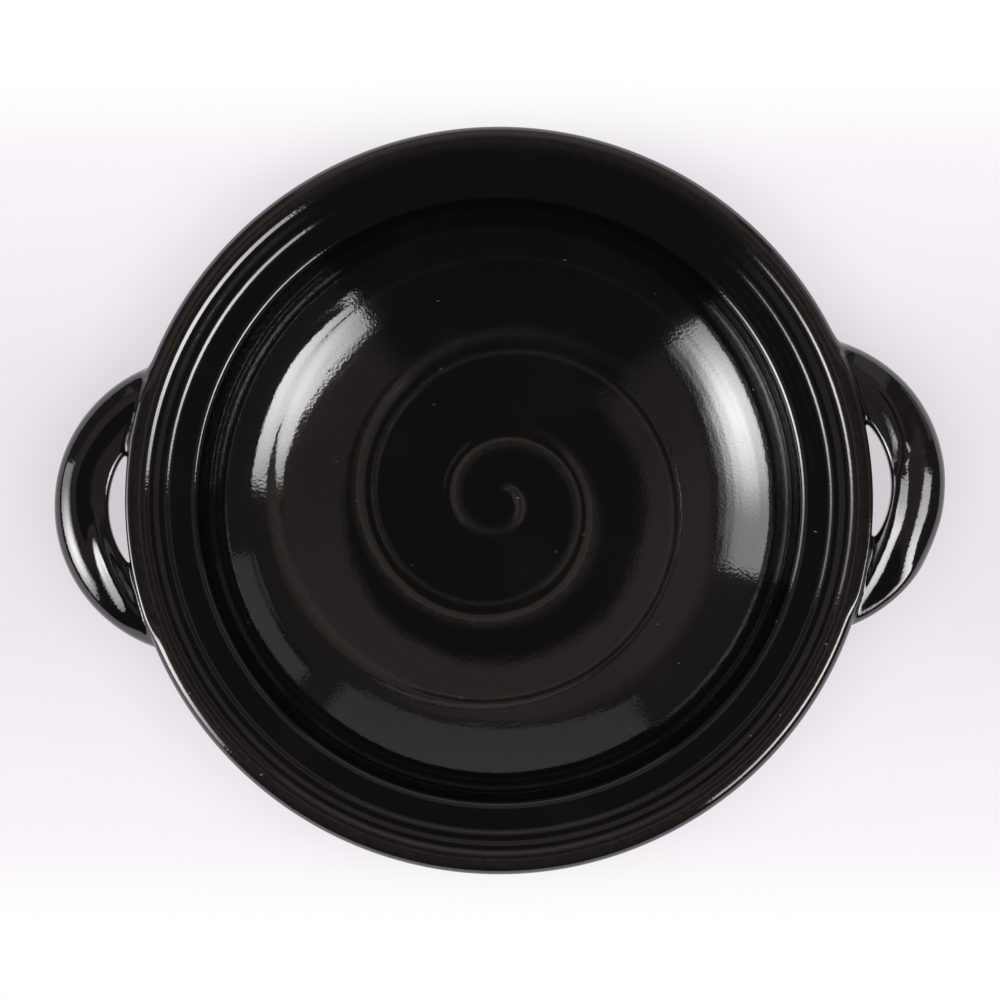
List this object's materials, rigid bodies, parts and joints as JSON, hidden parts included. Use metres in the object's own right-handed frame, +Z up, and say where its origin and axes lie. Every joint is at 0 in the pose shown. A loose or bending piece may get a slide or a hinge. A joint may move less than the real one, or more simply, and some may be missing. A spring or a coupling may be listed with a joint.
{
  "type": "clay cooking plate",
  "caption": "Round black-glazed clay cooking plate, wheel-thrown, with a wide ringed flange, a rolled lip, a finger-grooved floor and opposed loop handles.",
  "frame": {"origin": "centre of the base, on the surface that the foot stands on", "axes": "+X along the line through the handles, +Y to the back, +Z up"},
  "size_m": [0.3348, 0.28, 0.055],
  "materials": {
    "black_glaze": "thick glossy black glaze over red-brown clay, mirror-like, thinner and browner on the ridges"
  },
  "bodies": {
    "root": {"thrown_dish": "black_glaze", "right_handle": "black_glaze", "right_handle_back_luting": "black_glaze", "right_handle_front_luting": "black_glaze", "left_handle": "black_glaze", "left_handle_back_luting": "black_glaze", "left_handle_front_luting": "black_glaze"}
  },
  "joints": []
}
